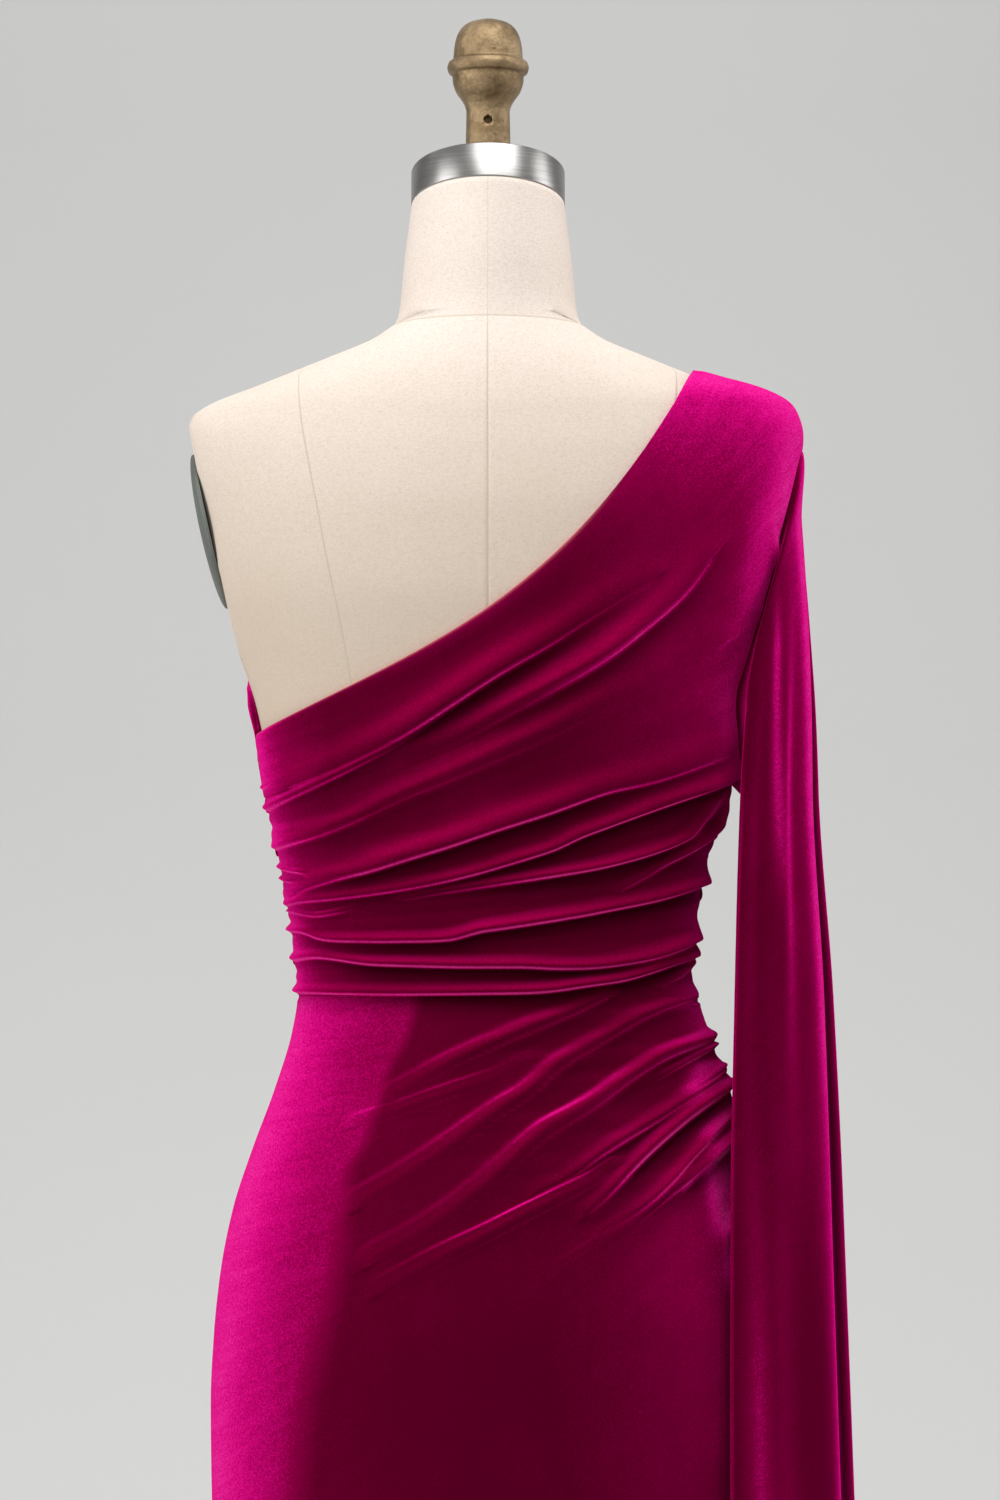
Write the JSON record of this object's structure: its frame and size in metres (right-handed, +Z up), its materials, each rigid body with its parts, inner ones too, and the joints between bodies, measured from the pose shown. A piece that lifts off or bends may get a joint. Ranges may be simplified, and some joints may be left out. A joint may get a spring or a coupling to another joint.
{
  "type": "one-shoulder gown on a limbless dress form",
  "caption": "Long one-shoulder, one-sleeve velvet sheath gown with a ruched bodice and gathered hip, on a limbless dress form with a round-based stand.",
  "frame": {"origin": "on the floor at the centre of the stand base's underside", "axes": "+Z up along the pole, -Y towards the gown's back, +X towards the wearer's right, the side with the sleeve"},
  "size_m": [0.6382, 0.5453, 1.6825],
  "materials": {
    "velvet": "magenta stretch velvet, soft pile that shines at its folds' edges",
    "linen": "matt cream linen with sewn seams",
    "cap_metal": "brushed",
    "bronze": "hammered cast bronze paint",
    "plate": "matt grey-green paint",
    "iron": "black satin enamel"
  },
  "bodies": {
    "root": {"bodice_back": "velvet", "bodice_front": "velvet", "skirt_back": "velvet", "skirt_front": "velvet", "sleeve": "velvet", "form_torso": "linen", "neck_cap": "cap_metal", "finial": "bronze", "arm_plate_left": "plate", "arm_plate_right": "plate", "stand_pole": "iron", "stand_base": "iron"}
  },
  "joints": []
}
